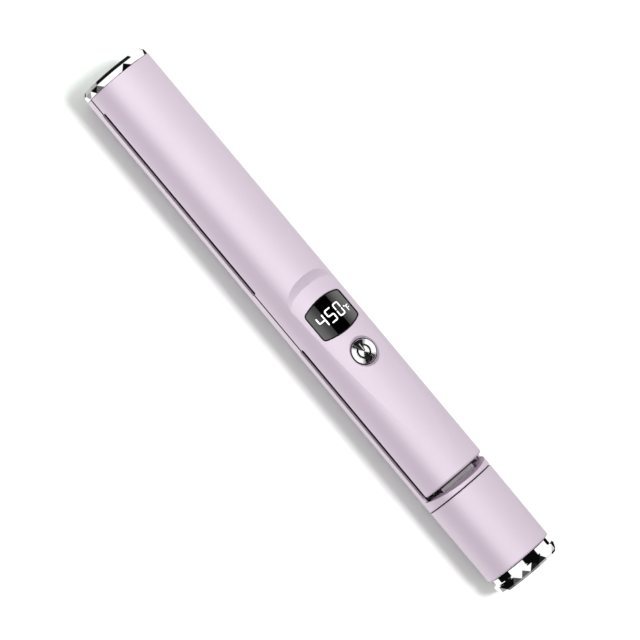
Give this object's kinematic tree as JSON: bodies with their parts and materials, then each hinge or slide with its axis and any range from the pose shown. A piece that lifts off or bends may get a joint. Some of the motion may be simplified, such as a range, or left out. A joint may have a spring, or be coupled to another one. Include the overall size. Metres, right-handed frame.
{
  "type": "hair straightener",
  "caption": "Round-bodied hair straightener with floating heating plates, a display, a power button, a twist lock and a swivel cord outlet.",
  "frame": {"origin": "under the middle of the body, on the surface that the closed straightener lies on with its lower arm down", "axes": "+X runs from the tips to the tail and the cord outlet, +Z goes from the lower arm to the upper arm"},
  "size_m": [0.3, 0.0356, 0.0373],
  "materials": {
    "pink_shell": "satin pearl paint",
    "dark_plastic": "matte, heat resistant",
    "grey_plastic": "matte, glass filled",
    "chrome_trim": "mirror plated, faceted",
    "button_metal": "turned face with fine rings",
    "steel": "plain",
    "plate_coating": "smooth ceramic coating",
    "heater_ceramic": "unglazed ceramic",
    "silicone": "matte silicone",
    "gland_rubber": "matte",
    "display_black": "high gloss",
    "board_green": "solder mask"
  },
  "bodies": {
    "lower_arm": {"lower_shell": "pink_shell", "lower_inner_cover": "dark_plastic", "lower_plate_tray": "dark_plastic", "lower_tip_cap": "chrome_trim", "lower_cover_screws": "steel", "lower_plate_cushions": "silicone", "barrel_sleeve": "pink_shell", "hinge_pin": "steel", "opening_spring": "steel", "swivel_housing": "dark_plastic", "housing_screws": "steel"},
    "upper_arm": {"upper_shell": "pink_shell", "upper_inner_cover": "dark_plastic", "upper_plate_tray": "dark_plastic", "upper_tip_cap": "chrome_trim", "upper_cover_screws": "steel", "upper_plate_cushions": "silicone", "hinge_tongue": "grey_plastic", "tongue_screws": "steel", "display_lens": "display_black", "display_module": "dark_plastic", "control_board": "board_green", "board_screws": "steel", "button_switch": "dark_plastic"},
    "upper_heating_plate": {"upper_plate": "plate_coating", "upper_heater": "heater_ceramic"},
    "lower_heating_plate": {"lower_plate": "plate_coating", "lower_heater": "heater_ceramic"},
    "button": {"power_button": "button_metal"},
    "ring": {"lock_ring": "chrome_trim"},
    "bolt": {"lock_bolt": "steel"},
    "gland": {"cord_gland": "gland_rubber"}
  },
  "joints": [
    {"name": "arm_hinge", "type": "hinge", "parent": "lower_arm", "child": "upper_arm", "pos_m": [0.104, 0, 0.0196], "axis": [0, 1, 0], "range_deg": [0, 15], "deforming": ["opening_spring"]},
    {"name": "upper_plate_float", "type": "slide", "parent": "upper_arm", "child": "upper_heating_plate", "axis": [0, 0, 1], "range_m": [0, 0.0006], "stiffness_N_per_m": 2000, "springref_m": -0.0001, "deforming": ["upper_plate_cushions"]},
    {"name": "lower_plate_float", "type": "slide", "parent": "lower_arm", "child": "lower_heating_plate", "axis": [0, 0, -1], "range_m": [0, 0.0006], "stiffness_N_per_m": 2000, "springref_m": -0.0001, "deforming": ["lower_plate_cushions"]},
    {"name": "button_press", "type": "slide", "parent": "upper_arm", "child": "button", "axis": [0, 0, -1], "range_m": [0, 0.0006], "stiffness_N_per_m": 1000, "springref_m": -0.0002},
    {"name": "lock_turn", "type": "hinge", "parent": "lower_arm", "child": "ring", "pos_m": [0.1478, 0, 0.0178], "axis": [1, 0, 0], "range_deg": [0, 60]},
    {"name": "bolt_slide", "type": "slide", "parent": "lower_arm", "child": "bolt", "axis": [-1, 0, 0], "range_m": [0, 0.0048]},
    {"name": "gland_swivel", "type": "hinge", "parent": "lower_arm", "child": "gland", "pos_m": [0.1434, 0, 0.0178], "axis": [1, 0, 0], "continuous": true}
  ],
  "couplings": [
    {"joint": "bolt_slide", "follows": "lock_turn", "m_per_rad": 0.00458}
  ]
}
